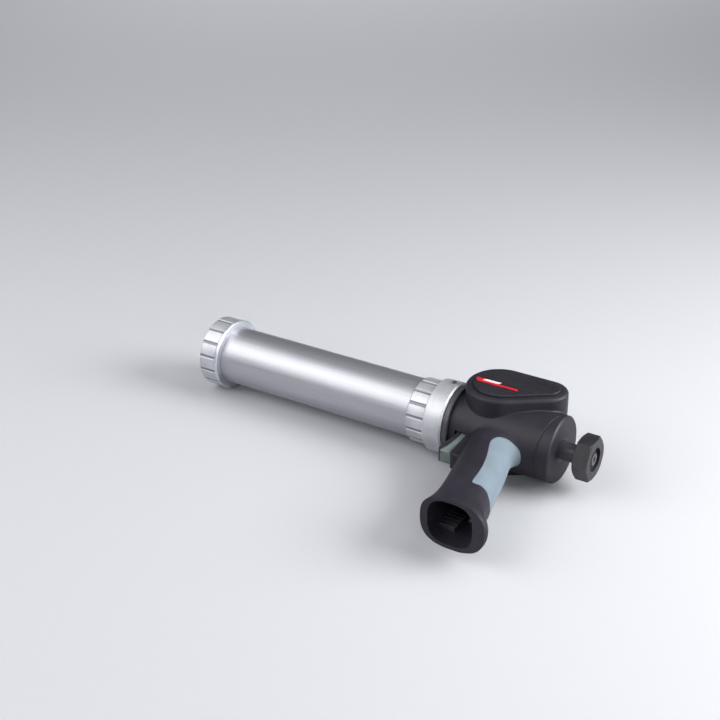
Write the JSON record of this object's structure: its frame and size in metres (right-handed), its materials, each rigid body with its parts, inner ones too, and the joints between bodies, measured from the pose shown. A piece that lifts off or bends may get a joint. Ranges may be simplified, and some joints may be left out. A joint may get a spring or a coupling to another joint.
{
  "type": "cordless caulking gun",
  "caption": "Cordless caulking gun: aluminium barrel with screw cap, pistol handle with battery socket, side gear case and a rack plunger with pull knob.",
  "frame": {"origin": "on the barrel axis, at the outer face of the front nozzle bore", "axes": "+X along the barrel from the nozzle to the pull knob, -Y towards the handle's end, +Z to the tool's left side, which is up as the tool lies on its right side"},
  "size_m": [0.3913, 0.1845, 0.0762],
  "materials": {
    "aluminium_tube": "satin anodised",
    "aluminium_turned": "fine turned",
    "aluminium_pale": "fine turned",
    "black_metal": "satin black",
    "housing_plastic": "fine matte",
    "cover_plastic": "matte with fine grooves",
    "label_red": "plain red stripe",
    "grip_rubber": "soft matte",
    "trigger_plastic": "matte",
    "black_plastic": "satin",
    "seal_rubber": "matte",
    "steel": "ground",
    "bronze": "plain",
    "board_green": "lacquered",
    "lead_red": "plain"
  },
  "bodies": {
    "frame": {"barrel_tube": "aluminium_tube", "barrel_collar": "aluminium_turned", "barrel_front_ring": "aluminium_pale", "front_flange": "black_metal", "collar_set_screws": "black_metal", "housing_left": "housing_plastic", "housing_right": "housing_plastic", "rear_end_cap": "housing_plastic", "gear_cover": "cover_plastic", "label_plate": "label_red", "grip_insert": "grip_rubber", "switch_body": "black_plastic", "contact_block": "black_plastic", "socket_ribs": "black_plastic", "motor_end_cap": "black_plastic", "rear_bush": "black_plastic", "battery_contacts": "steel", "housing_screws": "steel", "plate_screws": "steel", "gear_plate": "steel", "trigger_pin": "steel", "lower_bearing": "steel", "upper_bearing": "steel", "gearbox_can": "steel", "motor_can": "steel", "front_bush": "bronze", "circuit_board": "board_green", "battery_leads": "lead_red", "motor_leads": "lead_red"},
    "plunger": {"rack_rod": "black_metal", "piston": "aluminium_turned", "piston_seal": "seal_rubber", "piston_nut": "steel", "pull_knob": "black_plastic", "knob_screw": "black_metal"},
    "pinion_set": {"rack_pinion": "steel", "pinion_shaft": "steel", "drive_gear": "steel", "shaft_clips": "steel"},
    "output_set": {"output_pinion": "steel", "output_shaft": "steel"},
    "trigger_lever": {"trigger": "trigger_plastic", "trigger_pad": "black_plastic"},
    "button": {"switch_button": "black_plastic"},
    "cap_plate": {"nozzle_plate": "aluminium_turned"},
    "cap_ring": {"front_cap": "aluminium_turned"},
    "lock_nut": {"barrel_nut": "aluminium_turned"}
  },
  "joints": [
    {"name": "plunger_slide", "type": "slide", "parent": "frame", "child": "plunger", "axis": [1, 0, 0], "range_m": [-0.0145, 0.195]},
    {"name": "pinion_spin", "type": "hinge", "parent": "frame", "child": "pinion_set", "pos_m": [0.2977, 0.01355, 0], "axis": [0, 0, 1], "range_deg": [-95, 1245]},
    {"name": "output_spin", "type": "hinge", "parent": "frame", "child": "output_set", "pos_m": [0.32926, 0.0232, 0], "axis": [0, 0, 1], "range_deg": [-2490, 190]},
    {"name": "trigger_pull", "type": "hinge", "parent": "frame", "child": "trigger_lever", "pos_m": [0.2807, -0.02, 0], "axis": [0, 0, 1], "range_deg": [0, 5], "stiffness_Nm_per_rad": 2, "springref_deg": -5.73},
    {"name": "switch_press", "type": "slide", "parent": "frame", "child": "button", "axis": [1, 0, 0], "range_m": [0, 0.0016]},
    {"name": "cap_advance", "type": "slide", "parent": "frame", "child": "cap_plate", "axis": [-1, 0, 0], "range_m": [0, 0.009]},
    {"name": "cap_turn", "type": "hinge", "parent": "cap_plate", "child": "cap_ring", "pos_m": [0, 0, 0], "axis": [-1, 0, 0], "range_deg": [0, 1080]},
    {"name": "nut_turn", "type": "hinge", "parent": "frame", "child": "lock_nut", "pos_m": [0.234, 0, 0], "axis": [1, 0, 0], "continuous": true}
  ],
  "couplings": [
    {"joint": "pinion_spin", "follows": "plunger_slide", "rad_per_m": 111.11},
    {"joint": "output_spin", "follows": "plunger_slide", "rad_per_m": -222.22},
    {"joint": "switch_press", "follows": "trigger_pull", "m_per_rad": 0.017},
    {"joint": "cap_advance", "follows": "cap_turn", "m_per_rad": 0.00047746}
  ]
}
